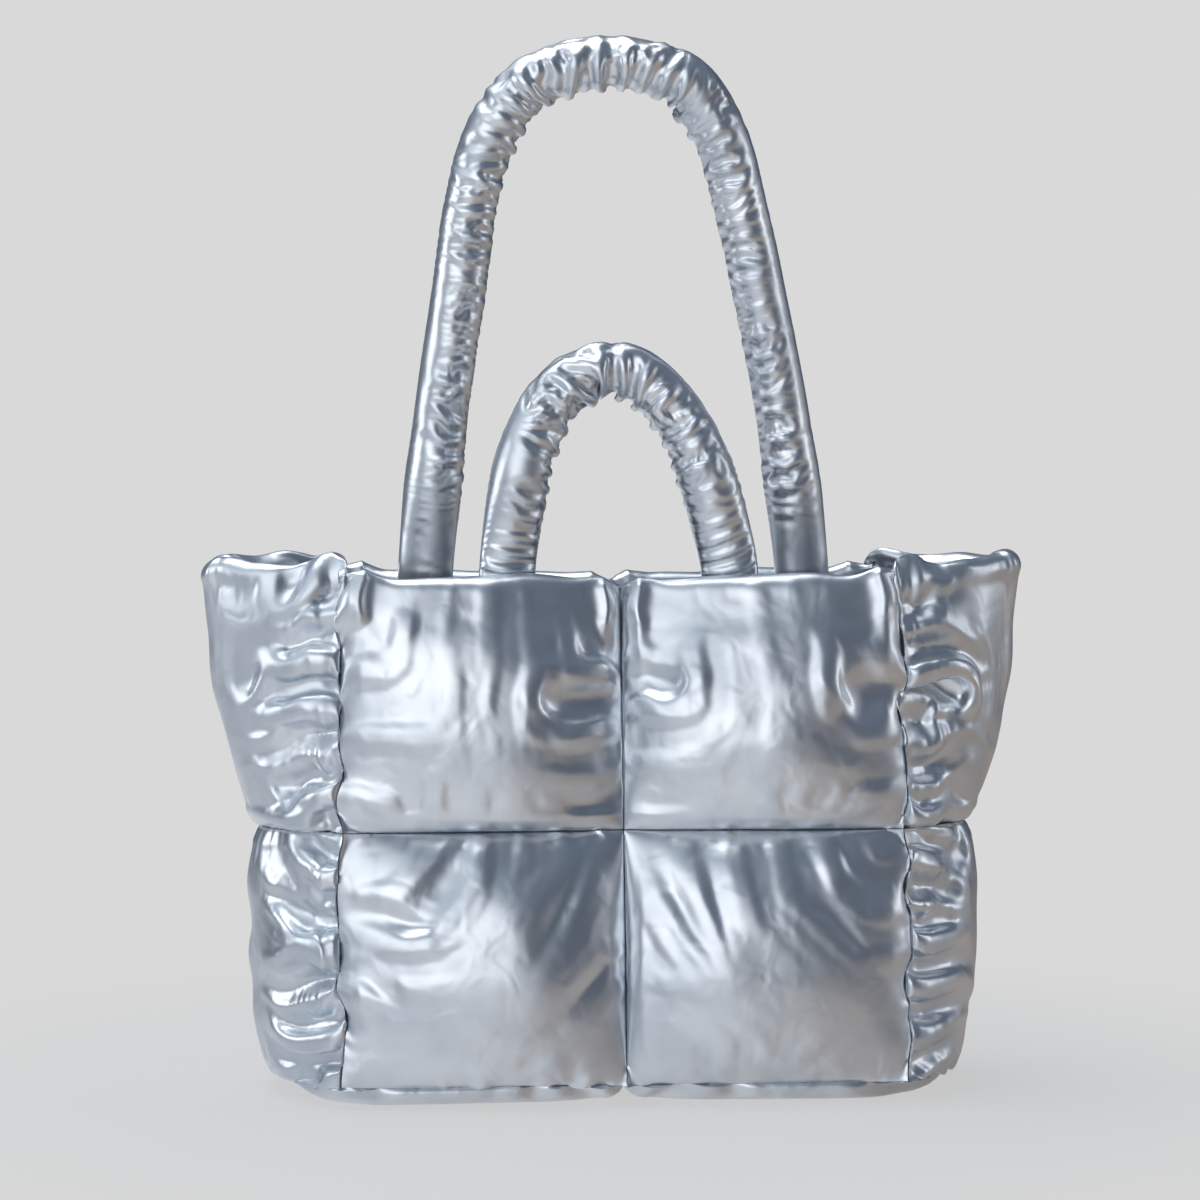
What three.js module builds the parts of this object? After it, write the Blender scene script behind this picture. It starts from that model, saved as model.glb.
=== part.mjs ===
// Padded tote bag: eight quilted panel puffs, four gusset puffs, two base puffs and two
// padded loop handles. Millimetres, +Z up, the front faces -Y, the floor is z = 0.
import * as THREE from 'three';

// Driving sizes of the body
const frontWidth = 354;
const baseDepth = 176;
const bandDepth = 142;
const rimDepth = 104;
const baseSeamHeight = 15;
const bandHeight = 171;
const rimHeight = 330;
const rimPeak = 5;
const rimNotch = 5;
const wingRise = 8;
const baseReach = 37;
const bandReach = 43;
const rimReach = 74;
const bandPull = 6;
const rimPull = 14;

// Padding: the wall at a seam, its inner side, and how far the puffs swell over it
const seamWall = 5;
const innerWall = 3;
const panelSwell = 25;
const gussetSwell = 12;
const cornerRound = 26;
const seamGap = 0.4;

// Gathers along the corner seams and pleats along the band seam
const gatherPitch = 24;
const gatherDepth = 6;
const gatherReach = 26;
const pleatPitch = 42;
const pleatDepth = 4;
const pleatReach = 20;

// Handles
const longSpan = 247;
const longHeight = 327;
const longShift = 3;
const shortSpan = 142;
const shortHeight = 127;
const shortShift = 0;
const tubeThickness = 35;
const baseThickness = 39;
const tabDepth = 30;
const tabWidth = 36;
const tabThickness = 8;
const tabClearance = 0.5;
const handleLean = 8;
const bendPleat = 0.09;

const halfWidth = frontWidth / 2;
const { clamp, lerp } = THREE.MathUtils;

// Smooth value through three stations: the base seam is level 0, the band seam 1, the rim 2
function between([base, band, rim], level) {
  const bend = rim - 2 * band + base;
  return base + (band - base) * level + (bend * level * (level - 1)) / 2;
}

// The level at which a panel whose rim is at the given height reaches z
function levelAt(z, rim) {
  const half = (rim - 2 * bandHeight + baseSeamHeight) / 2;
  const slope = bandHeight - baseSeamHeight - half;
  const over = z - baseSeamHeight;
  return (2 * over) / (slope + Math.sqrt(slope ** 2 + 4 * half * over));
}

const seamDepth = (level) => between([baseDepth, bandDepth, rimDepth], level) / 2;

// The skeleton of a panel: across runs from -1 at the left corner seam to 1 at the right
function panelPoint(side, across, level) {
  const pull = between([0, bandPull, rimPull], level) * Math.cos((across * Math.PI) / 2) ** 2;
  const edge = Math.abs(across);
  const rim = rimHeight + rimPeak * edge ** 3 - rimNotch * (1 - edge) ** 8;
  return new THREE.Vector3(
    across * halfWidth,
    side * (seamDepth(level) - pull),
    between([baseSeamHeight, bandHeight, rim], level),
  );
}

// The skeleton of a gusset: along runs from 0 at the front corner seam to 1 at the back one.
// It is a round arc at the base and closes to a fold toward the rim.
function gussetPoint(side, along, level) {
  const roundness = between([2, 1.7, 1.15], level);
  const reach = between([baseReach, bandReach, rimReach], level);
  const out = 1 - Math.abs(2 * along - 1) ** roundness;
  const rim = rimHeight + rimPeak + wingRise * out;
  return new THREE.Vector3(
    side * (halfWidth + reach * out),
    (2 * along - 1) * seamDepth(level),
    between([baseSeamHeight, bandHeight, rim], level),
  );
}

// The skeleton of a base half: across runs from 0 at the middle seam to 1 at the gusset,
// along from -1 at the front seam to 1 at the back one
function basePoint(side, across, along) {
  return new THREE.Vector3(
    side * across * (halfWidth + baseReach * (1 - along ** 2)),
    (along * baseDepth) / 2,
    baseSeamHeight,
  );
}

// Normal of a skeleton at (u, v), turned to the side that the outward vector shows
function normalOf(point, u, v, outward) {
  const step = 1e-3;
  const alongU = point(u + step, v).sub(point(u - step, v));
  const alongV = point(u, v + step).sub(point(u, v - step));
  const normal = alongU.cross(alongV).normalize();
  return normal.dot(outward) < 0 ? normal.negate() : normal;
}

const down = new THREE.Vector3(0, 0, -1);
const panelNormal = (side, across, level) => normalOf(
  (u, v) => panelPoint(side, u, v), across, level, new THREE.Vector3(0, side, 0));
const gussetNormal = (side, along, level) => normalOf(
  (u, v) => gussetPoint(side, u, v), along, level, new THREE.Vector3(side, 0, 0));

// Pull of a neighbour's normal, which is whole at the seam and gone at cornerRound from it.
// Two puffs share one direction at their seam, so that their side walls stay parallel.
const seamShare = (distance) => clamp(1 - distance / cornerRound, 0, 1) ** 2;
const dome = (share) => Math.max(0, 1 - Math.abs(2 * share - 1) ** 2.6) ** 0.55;
const ripple = (length, pitch) => 0.5 + 0.5 * Math.cos((2 * Math.PI * length) / pitch);

// Dents and folds. across and up are shares of the puff's width and height from its left
// and lower edge as seen from outside, long and wide are shares of its height, turn is the
// angle of the long axis in degrees, deep a share of the puff's swell.
const dents = [
  { puff: 'front_upper_left', across: 0.87, up: 0.54, long: 0.17, wide: 0.07, turn: 0, deep: 0.42 },
  { puff: 'front_upper_left', across: 0.45, up: 0.97, long: 0.30, wide: 0.05, turn: 0, deep: 0.25 },
  { puff: 'front_upper_right', across: 0.90, up: 0.57, long: 0.15, wide: 0.09, turn: 10, deep: 0.45 },
  { puff: 'front_upper_right', across: 0.06, up: 0.66, long: 0.10, wide: 0.05, turn: 0, deep: 0.35 },
  { puff: 'front_lower_left', across: 0.13, up: 0.70, long: 0.20, wide: 0.05, turn: -20, deep: 0.45 },
  { puff: 'front_lower_left', across: 0.40, up: 0.80, long: 0.24, wide: 0.05, turn: 47, deep: 0.40 },
  { puff: 'front_lower_left', across: 0.82, up: 0.72, long: 0.22, wide: 0.04, turn: 60, deep: 0.30 },
  { puff: 'front_lower_right', across: 0.18, up: 0.74, long: 0.22, wide: 0.04, turn: -58, deep: 0.30 },
  { puff: 'front_lower_right', across: 0.77, up: 0.56, long: 0.16, wide: 0.04, turn: -48, deep: 0.28 },
  { puff: 'front_lower_right', across: 0.94, up: 0.88, long: 0.18, wide: 0.06, turn: 35, deep: 0.35 },
  { puff: 'back_upper_left', across: 0.84, up: 0.48, long: 0.16, wide: 0.07, turn: 15, deep: 0.40 },
  { puff: 'back_upper_right', across: 0.88, up: 0.62, long: 0.15, wide: 0.08, turn: -8, deep: 0.42 },
  { puff: 'back_upper_right', across: 0.20, up: 0.30, long: 0.20, wide: 0.05, turn: -40, deep: 0.30 },
  { puff: 'back_lower_left', across: 0.24, up: 0.78, long: 0.24, wide: 0.05, turn: 38, deep: 0.38 },
  { puff: 'back_lower_right', across: 0.20, up: 0.75, long: 0.24, wide: 0.04, turn: -55, deep: 0.32 },
  { puff: 'back_lower_right', across: 0.86, up: 0.72, long: 0.20, wide: 0.05, turn: 30, deep: 0.40 },
  { puff: 'left_gusset_lower', across: 0.78, up: 0.84, long: 0.26, wide: 0.06, turn: -50, deep: 0.75 },
  { puff: 'left_gusset_lower', across: 0.25, up: 0.80, long: 0.26, wide: 0.06, turn: 50, deep: 0.70 },
  { puff: 'left_gusset_upper', across: 0.80, up: 0.20, long: 0.28, wide: 0.07, turn: 50, deep: 0.75 },
  { puff: 'left_gusset_upper', across: 0.26, up: 0.22, long: 0.26, wide: 0.06, turn: -50, deep: 0.65 },
  { puff: 'right_gusset_lower', across: 0.24, up: 0.84, long: 0.26, wide: 0.06, turn: 50, deep: 0.75 },
  { puff: 'right_gusset_lower', across: 0.76, up: 0.80, long: 0.26, wide: 0.06, turn: -50, deep: 0.70 },
  { puff: 'right_gusset_upper', across: 0.22, up: 0.20, long: 0.28, wide: 0.07, turn: -50, deep: 0.75 },
  { puff: 'right_gusset_upper', across: 0.74, up: 0.22, long: 0.26, wide: 0.06, turn: 50, deep: 0.65 },
  { puff: 'base_left', across: 0.35, up: 0.05, long: 0.16, wide: 0.06, turn: 70, deep: 0.40 },
  { puff: 'base_right', across: 0.72, up: 0.06, long: 0.16, wide: 0.06, turn: -65, deep: 0.40 },
];

// Share of the swell that the dents take away at (across, up) of a puff
function dentShare(name, across, up, aspect) {
  let share = 0;
  for (const dent of dents.filter((row) => row.puff === name)) {
    const turn = THREE.MathUtils.degToRad(dent.turn);
    const right = (across - dent.across) * aspect;
    const over = up - dent.up;
    const alongAxis = right * Math.cos(turn) + over * Math.sin(turn);
    const offAxis = over * Math.cos(turn) - right * Math.sin(turn);
    share += dent.deep * Math.exp(-((alongAxis / dent.long) ** 2) - (offAxis / dent.wide) ** 2);
  }
  return share;
}

// Shares from 0 to 1 in a number of even steps, with closer rows by both edges
function edgedShares(steps) {
  const edge = [0, 0.012, 0.04, 0.1];
  const last = edge.at(-1);
  const middle = evenShares(steps).slice(1, -1).map((share) => lerp(last, 1 - last, share));
  return [...edge, ...middle, ...edge.map((share) => 1 - share).reverse()];
}

const evenShares = (steps) => Array.from({ length: steps + 1 }, (_, i) => i / steps);

// Closed padded wall: a fine outer face, a coarse inner one and the strip that joins them
function paddedWall(columns, rows, innerColumns, innerRows, outerPoint, innerPoint) {
  const positions = [];
  const triangles = [];

  function grid(us, vs, pointAt) {
    const first = positions.length / 3;
    for (const v of vs) for (const u of us) positions.push(...pointAt(u, v).toArray());
    return (i, j) => first + j * us.length + i;
  }

  function fill(at, us, vs, flip) {
    for (let j = 0; j + 1 < vs.length; j += 1) {
      for (let i = 0; i + 1 < us.length; i += 1) {
        const [a, b, c, d] = [at(i, j), at(i + 1, j), at(i + 1, j + 1), at(i, j + 1)];
        if (flip) triangles.push(a, c, b, a, d, c);
        else triangles.push(a, b, c, a, c, d);
      }
    }
  }

  function border(at, us, vs) {
    const loop = [];
    const [lastU, lastV] = [us.length - 1, vs.length - 1];
    us.slice(0, -1).forEach((u, i) => loop.push({ at: u, index: at(i, 0) }));
    vs.slice(0, -1).forEach((v, j) => loop.push({ at: 1 + v, index: at(lastU, j) }));
    us.slice(1).reverse().forEach((u, i) => loop.push({ at: 3 - u, index: at(lastU - i, lastV) }));
    vs.slice(1).reverse().forEach((v, j) => loop.push({ at: 4 - v, index: at(0, lastV - j) }));
    return [...loop, { at: 4, index: loop[0].index }];
  }

  const outerAt = grid(columns, rows, outerPoint);
  const innerAt = grid(innerColumns, innerRows, innerPoint);
  fill(outerAt, columns, rows, false);
  fill(innerAt, innerColumns, innerRows, true);

  const outer = border(outerAt, columns, rows);
  const inner = border(innerAt, innerColumns, innerRows);
  let [o, n] = [0, 0];
  while (o + 1 < outer.length || n + 1 < inner.length) {
    const outerNext = o + 1 < outer.length ? outer[o + 1].at : Infinity;
    const innerNext = n + 1 < inner.length ? inner[n + 1].at : Infinity;
    if (outerNext <= innerNext) {
      triangles.push(outer[o].index, inner[n].index, outer[o + 1].index);
      o += 1;
    } else {
      triangles.push(outer[o].index, inner[n].index, inner[n + 1].index);
      n += 1;
    }
  }
  return closedGeometry(positions, triangles);
}

// Geometry whose faces point out, whichever way round they were listed
function closedGeometry(positions, triangles) {
  const corner = (index) => new THREE.Vector3().fromArray(positions, 3 * index);
  let volume = 0;
  for (let i = 0; i < triangles.length; i += 3) {
    const [a, b, c] = [0, 1, 2].map((k) => corner(triangles[i + k]));
    volume += a.dot(b.cross(c)) / 6;
  }
  const geometry = new THREE.BufferGeometry();
  geometry.setAttribute('position', new THREE.Float32BufferAttribute(positions, 3));
  geometry.setIndex(volume < 0 ? triangles.slice().reverse() : triangles);
  geometry.computeVertexNormals();
  return geometry;
}

const silverCloth = { color: 0xa9b4bf, roughness: 0.28, metalness: 0.85 };

function addPiece(group, name, geometry) {
  const mesh = new THREE.Mesh(geometry, new THREE.MeshStandardMaterial(silverCloth));
  mesh.name = name;
  group.add(mesh);
}

// Share of a length that leaves half of the seam gap at each end
const inset = (share, length) => lerp(seamGap / 2 / length, 1 - seamGap / 2 / length, share);

// One quilted puff of the front (side -1) or back (side 1) panel. hand is -1 for the
// puff at -X and 1 for the one at +X, tier 0 for the lower row and 1 for the upper.
function panelPuff(side, hand, tier) {
  const face = side < 0 ? 'front' : 'back';
  const name = `${face}_${tier ? 'upper' : 'lower'}_${hand * -side < 0 ? 'left' : 'right'}`;
  const tall = tier ? rimHeight - bandHeight : bandHeight - baseSeamHeight;
  const place = (u, v) => {
    const fromMiddle = inset(u, halfWidth);
    return { across: hand * fromMiddle, level: tier + inset(v, tall) };
  };

  function direction(across, level) {
    const normal = panelNormal(side, across, level);
    const corner = gussetNormal(hand, side < 0 ? 0 : 1, level);
    normal.addScaledVector(corner, seamShare((1 - Math.abs(across)) * halfWidth));
    const overBase = panelPoint(side, across, level).z - baseSeamHeight;
    return normal.addScaledVector(down, seamShare(overBase)).normalize();
  }

  function swell(u, v) {
    const fromBand = (tier ? v : 1 - v) * tall;
    const fromCorner = (1 - u) * halfWidth;
    const seenAcross = hand * -side > 0 ? u : 1 - u;
    const dent = dentShare(name, seenAcross, v, halfWidth / tall);
    const pleats = pleatDepth * Math.exp(-fromBand / pleatReach) * ripple(u * halfWidth, pleatPitch);
    const gathers = 0.6 * gatherDepth * Math.exp(-fromCorner / gatherReach) * ripple(v * tall, gatherPitch);
    const raised = panelSwell * (1 - Math.min(dent, 0.8)) - pleats - gathers;
    return seamWall + dome(u) * dome(v) * raised;
  }

  return [name, paddedWall(
    edgedShares(10), edgedShares(8), evenShares(8), evenShares(4),
    (u, v) => {
      const { across, level } = place(u, v);
      return panelPoint(side, across, level).addScaledVector(direction(across, level), swell(u, v));
    },
    (u, v) => {
      const { across, level } = place(u, v);
      return panelPoint(side, across, level).addScaledVector(direction(across, level), -innerWall);
    },
  )];
}

// One gusset puff: hand -1 at -X or 1 at +X, tier 0 for the lower one, 1 for the upper
function gussetPuff(hand, tier) {
  const name = `${hand < 0 ? 'left' : 'right'}_gusset_${tier ? 'upper' : 'lower'}`;
  const tall = tier ? rimHeight - bandHeight : bandHeight - baseSeamHeight;
  const wide = gussetPoint(hand, 0, 1).distanceTo(gussetPoint(hand, 0.5, 1)) * 2;
  const place = (u, v) => ({ along: inset(u, wide), level: tier + inset(v, tall) });

  function direction(along, level) {
    const normal = gussetNormal(hand, along, level);
    const end = along < 0.5 ? -1 : 1;
    const fromCorner = (1 - Math.abs(2 * along - 1)) * seamDepth(level);
    normal.addScaledVector(panelNormal(end, hand, level), seamShare(fromCorner));
    const overBase = gussetPoint(hand, along, level).z - baseSeamHeight;
    return normal.addScaledVector(down, seamShare(overBase)).normalize();
  }

  function swell(u, v) {
    const fromCorner = Math.min(u, 1 - u) * wide;
    const seenAcross = hand > 0 ? u : 1 - u;
    const dent = dentShare(name, seenAcross, v, wide / tall);
    const gathers = gatherDepth * Math.exp(-fromCorner / gatherReach)
      * ripple(v * tall + (u < 0.5 ? 0 : gatherPitch / 3), gatherPitch);
    const raised = gussetSwell * (1 - Math.min(dent, 0.9)) + gatherDepth / 2 - gathers;
    return seamWall + dome(u) * dome(v) * raised;
  }

  return [name, paddedWall(
    edgedShares(10), edgedShares(16), evenShares(8), evenShares(4),
    (u, v) => {
      const { along, level } = place(u, v);
      return gussetPoint(hand, along, level).addScaledVector(direction(along, level), swell(u, v));
    },
    (u, v) => {
      const { along, level } = place(u, v);
      return gussetPoint(hand, along, level).addScaledVector(direction(along, level), -innerWall);
    },
  )];
}

// One half of the base, which lies flat on the floor between its seams
function basePuff(hand) {
  const name = `base_${hand < 0 ? 'left' : 'right'}`;
  const long = halfWidth + baseReach;
  const place = (u, v) => ({ across: inset(u, halfWidth), along: 2 * inset(v, baseDepth) - 1 });

  function direction(across, along) {
    const end = along < 0 ? -1 : 1;
    const fromSeam = (1 - Math.abs(along)) * seamDepth(0);
    const fromGusset = (1 - across) * (halfWidth + baseReach * (1 - along ** 2));
    const edge = clamp((along + 1) / 2, 0, 1);
    return down.clone()
      .addScaledVector(panelNormal(end, hand * across, 0), seamShare(fromSeam))
      .addScaledVector(gussetNormal(hand, edge, 0), seamShare(fromGusset))
      .normalize();
  }

  function outer(u, v) {
    const { across, along } = place(u, v);
    const seenAcross = hand > 0 ? u : 1 - u;
    const tuck = Math.min(dentShare(name, seenAcross, v, long / baseDepth), 0.8);
    const round = dome(v) * dome(lerp(0.5, 1, u)) * (u < 0.2 ? dome(u * 2.5) : 1);
    const reach = seamWall + round * (baseSeamHeight - seamWall) * 1.2 * (1 - tuck);
    const point = basePoint(hand, across, along).addScaledVector(direction(across, along), reach);
    point.z = Math.max(point.z, 0);
    return point;
  }

  return [name, paddedWall(
    edgedShares(10), edgedShares(10), evenShares(8), evenShares(8),
    outer,
    (u, v) => {
      const { across, along } = place(u, v);
      return basePoint(hand, across, along).addScaledVector(direction(across, along), -innerWall);
    },
  )];
}

// Routes of the two handles from the left foot to the right one. across is a share of
// half the span, up a share of the loop's height over the rim.
const longRoute = [
  { across: -1, up: 0 }, { across: -0.95, up: 0.2 }, { across: -0.89, up: 0.38 },
  { across: -0.82, up: 0.56 }, { across: -0.75, up: 0.74 }, { across: -0.65, up: 0.86 },
  { across: -0.49, up: 0.945 }, { across: -0.31, up: 0.978 }, { across: -0.04, up: 1 },
  { across: 0.25, up: 0.98 }, { across: 0.41, up: 0.945 }, { across: 0.55, up: 0.86 },
  { across: 0.65, up: 0.74 }, { across: 0.76, up: 0.56 }, { across: 0.86, up: 0.38 },
  { across: 0.94, up: 0.2 }, { across: 1, up: 0 },
];
const shortRoute = [
  { across: -1, up: 0 }, { across: -0.95, up: 0.25 }, { across: -0.86, up: 0.52 },
  { across: -0.75, up: 0.7 }, { across: -0.56, up: 0.87 }, { across: -0.3, up: 0.975 },
  { across: -0.06, up: 1 }, { across: 0.16, up: 0.975 }, { across: 0.41, up: 0.86 },
  { across: 0.63, up: 0.69 }, { across: 0.8, up: 0.46 }, { across: 0.92, up: 0.22 },
  { across: 1, up: 0 },
];

// Depth of the middle of a handle's tab, which lies against the inner face of its panel
function tabDepthAt(side, x, z) {
  const across = clamp(x / halfWidth, -1, 1);
  const level = levelAt(z, panelPoint(side, across, 2).z);
  const wallSide = Math.abs(panelPoint(side, across, Math.min(level, 2)).y);
  return side * (wallSide - innerWall - tabClearance - tabThickness / 2);
}

// Padded loop handle: oval sections along its route, flat tabs inside the rim, and
// alternate rings drawn in where it bends
function handle(name, side, route, span, height, shift, rings, sides) {
  const foot = rimHeight + rimPeak;
  const points = route.map(({ across, up }) => new THREE.Vector3(
    shift + (across * span) / 2, 0, foot + up * height));
  const sink = (end) => new THREE.Vector3(end.x, 0, foot - tabDepth);
  const path = new THREE.CatmullRomCurve3(
    [sink(points[0]), ...points, sink(points.at(-1))], false, 'centripetal');
  path.arcLengthDivisions = 400;
  const total = path.getLength();

  const bendAt = (s) => {
    const step = 12 / total;
    const before = path.getTangentAt(clamp(s - step, 0, 1));
    const after = path.getTangentAt(clamp(s + step, 0, 1));
    return clamp(before.angleTo(after) * 1.6, 0, 1);
  };

  // Rings lie closer together at the tabs and in the bends
  const samples = 600;
  const weight = [0];
  for (let i = 1; i <= samples; i += 1) {
    const s = (i - 0.5) / samples;
    const fromEnd = Math.min(s, 1 - s) * total;
    weight.push(weight[i - 1] + 1 + 2.2 * bendAt(s) + (fromEnd < 2 * tabDepth ? 0.8 : 0));
  }
  const stations = evenShares(rings).map((share) => {
    const i = Math.max(1, weight.findIndex((sum) => sum >= share * weight[samples] - 1e-9));
    return (i - 1 + (share * weight[samples] - weight[i - 1]) / (weight[i] - weight[i - 1])) / samples;
  });

  const positions = [];
  const triangles = [];
  stations.forEach((s, ring) => {
    const middle = path.getPointAt(clamp(s, 0, 1));
    const tangent = path.getTangentAt(clamp(s, 0, 1));
    const across = new THREE.Vector3(tangent.z, 0, -tangent.x);
    const overFoot = middle.z - foot;
    const round = THREE.MathUtils.smoothstep(overFoot, 0, tubeThickness * 0.7);
    const slim = THREE.MathUtils.smoothstep(overFoot, tubeThickness, tubeThickness * 3);
    const thick = lerp(baseThickness, tubeThickness, slim);
    const drawn = 1 - bendPleat * bendAt(s) * (1 + (-1) ** ring);
    const halfAcross = (lerp(tabWidth, thick, round) / 2) * drawn;
    const halfDeep = (lerp(tabThickness, thick, round) / 2) * drawn;
    const lean = handleLean * clamp(overFoot / height, 0, 1);
    for (let k = 0; k < sides; k += 1) {
      const angle = (2 * Math.PI * k) / sides;
      const point = middle.clone().addScaledVector(across, Math.cos(angle) * halfAcross);
      const seat = point.clone().lerp(middle, round);
      point.y = tabDepthAt(side, seat.x, Math.min(seat.z, foot)) - side * lean;
      point.y += (Math.sin(angle) * halfDeep) / Math.cos(Math.PI / sides);
      positions.push(...point.toArray());
    }
  });
  for (let ring = 0; ring < rings; ring += 1) {
    for (let k = 0; k < sides; k += 1) {
      const [a, b] = [ring * sides + k, ring * sides + ((k + 1) % sides)];
      triangles.push(a, b, b + sides, a, b + sides, a + sides);
    }
  }
  for (let k = 1; k + 1 < sides; k += 1) {
    const last = rings * sides;
    triangles.push(0, k + 1, k, last, last + k, last + k + 1);
  }
  return [name, closedGeometry(positions, triangles)];
}

const tote = new THREE.Group();
for (const side of [-1, 1]) {
  const panel = new THREE.Group();
  for (const hand of [-1, 1]) {
    for (const tier of [0, 1]) addPiece(panel, ...panelPuff(side, hand, tier));
  }
  tote.add(panel);
}
for (const hand of [-1, 1]) {
  const gusset = new THREE.Group();
  for (const tier of [0, 1]) addPiece(gusset, ...gussetPuff(hand, tier));
  tote.add(gusset);
  addPiece(tote, ...basePuff(hand));
}
addPiece(tote, ...handle('long_handle', 1, longRoute, longSpan, longHeight, longShift, 54, 10));
addPiece(tote, ...handle('short_handle', -1, shortRoute, shortSpan, shortHeight, shortShift, 40, 10));

export default tote;
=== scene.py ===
"""Padded tote bag of silver coated cloth: quilted puffs, gathered gussets, two loop handles."""
import math

import bpy
import numpy as np
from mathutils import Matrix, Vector


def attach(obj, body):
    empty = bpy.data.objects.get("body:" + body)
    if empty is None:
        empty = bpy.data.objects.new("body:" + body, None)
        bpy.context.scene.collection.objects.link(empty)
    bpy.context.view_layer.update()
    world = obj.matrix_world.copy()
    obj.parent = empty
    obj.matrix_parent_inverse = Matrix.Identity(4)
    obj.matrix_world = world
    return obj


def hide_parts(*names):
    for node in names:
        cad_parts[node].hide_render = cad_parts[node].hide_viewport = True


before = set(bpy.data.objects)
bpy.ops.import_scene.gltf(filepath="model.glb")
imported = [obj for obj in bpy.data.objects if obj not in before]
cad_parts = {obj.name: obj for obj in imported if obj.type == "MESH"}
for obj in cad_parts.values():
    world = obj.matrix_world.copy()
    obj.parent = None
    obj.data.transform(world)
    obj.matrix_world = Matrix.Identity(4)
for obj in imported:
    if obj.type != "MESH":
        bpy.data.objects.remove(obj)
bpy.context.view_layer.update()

# The camera stands 2.5 m away, a little to the left of the bag's middle and a little higher
# than its rim. It looks slightly down, and the frame is square.
mm = 0.001
frame_pixels = 1200
focal_pixels = 3871
camera_distance = 2500 * mm
camera_height = 440 * mm
camera_turn = math.radians(5)
axis_pixel = 614.5
horizon_pixel = 404

camera = bpy.data.objects.new("camera", bpy.data.cameras.new("camera"))
bpy.context.scene.collection.objects.link(camera)
camera.data.sensor_width = 36
camera.data.lens = camera.data.sensor_width * focal_pixels / frame_pixels
camera.location = (
    -camera_distance * math.sin(camera_turn),
    -camera_distance * math.cos(camera_turn),
    camera_height,
)
look_aside = math.atan((axis_pixel - frame_pixels / 2) / focal_pixels)
look_down = math.atan((frame_pixels / 2 - horizon_pixel) / focal_pixels)
camera.rotation_euler = (math.pi / 2 - look_down, 0, look_aside - camera_turn)
bpy.context.scene.camera = camera

# The base is two flat puffs that the bag stands on. They set out what every puff shares: the
# skeleton of seams, the one silver coated cloth, how it settles over its loose filling, and
# the closed padded wall with its lining. Levels are 0 at the base seam, 1 at the band seam and
# 2 at the rim.
half_width = 177 * mm
seam_depths = (88 * mm, 71 * mm, 52 * mm)
base_seam_height = 15 * mm
band_height = 171 * mm
rim_height = 330 * mm
rim_peak = 5 * mm
rim_notch = 5 * mm
wing_rise = 8 * mm
gusset_reaches = (37 * mm, 43 * mm, 74 * mm)
gusset_roundness = (2, 1.7, 1.15)
panel_pulls = (0, 6 * mm, 14 * mm)
corner_round = 26 * mm
seam_gap = 0.5 * mm
floor_gap = 0.4 * mm
seam_edge = 2.5 * mm
lining_depth = 2.8 * mm
base_swell = 1.15
base_slack = 0.01
base_gather = 0.08
base_gather_reach = 14 * mm
straight_down = np.array([0, 0, -1]).reshape(3, 1, 1)
tiny = 1e-9
dice = np.random.default_rng(11)


def between(stations, level):
    """Smooth value through the three stations."""
    base, band, rim = stations
    return base + (band - base) * level + (rim - 2 * band + base) * level * (level - 1) / 2


def unit(vectors):
    return vectors / np.maximum(np.sqrt((vectors ** 2).sum(0)), tiny)


def skeleton_normal(point, u, v, outward):
    """Normal of a skeleton, on the side that the outward vector shows."""
    step = 1e-3
    across = point(u + step, v) - point(u - step, v)
    along = point(u, v + step) - point(u, v - step)
    normal = unit(np.cross(across, along, axis=0))
    return normal * np.sign((normal * np.reshape(outward, (3, 1, 1))).sum(0))


def seam_share(distance):
    """How far two puffs share one direction: whole at their seam, gone a little beside it."""
    return np.clip(1 - distance / corner_round, 0, 1) ** 2


def dome(share, fullness=2.6, steepness=0.55):
    return np.maximum(0, 1 - np.abs(2 * share - 1) ** fullness) ** steepness


def inset(share, length):
    """Share of a length that keeps half of the seam gap at each end."""
    edge = seam_gap / 2 / length
    return edge + share * (1 - 2 * edge)


def hills(seed, across, up, number_across, number_up):
    """Soft random hills between -1 and 1 over the unit square, so many across and up."""
    last_cell = 1.001
    columns, rows = int(number_across) + 2, int(number_up) + 2
    heights = np.random.default_rng(seed).uniform(-1, 1, (rows, columns))
    column = np.clip(across, 0, 1) * (columns - last_cell)
    row = np.clip(up, 0, 1) * (rows - last_cell)
    i, j = row.astype(int), column.astype(int)
    a, b = row - i, column - j
    a, b = a * a * (3 - 2 * a), b * b * (3 - 2 * b)
    low = heights[i, j] * (1 - b) + heights[i, j + 1] * b
    high = heights[i + 1, j] * (1 - b) + heights[i + 1, j + 1] * b
    return low * (1 - a) + high * a


def halved(field):
    """A grid with a smooth point added between each two, both ways."""
    for axis in (-2, -1):
        line = np.moveaxis(field, axis, 0)
        ends = np.concatenate([2 * line[:1] - line[1:2], line, 2 * line[-1:] - line[-2:-1]])
        finer = np.empty((2 * len(line) - 1,) + line.shape[1:])
        finer[0::2] = line
        finer[1::2] = (9 * (ends[1:-2] + ends[2:-1]) - ends[:-3] - ends[3:]) / 16
        field = np.moveaxis(finer, 0, axis)
    return np.ascontiguousarray(field)


def ironed(p):
    """Cloth with the faintest jitter between neighbouring points taken out."""
    p[:, 1:-1] = (p[:, :-2] + 2 * p[:, 1:-1] + p[:, 2:]) / 4
    p[:, :, 1:-1] = (p[:, :, :-2] + 2 * p[:, :, 1:-1] + p[:, :, 2:]) / 4
    return p


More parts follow.
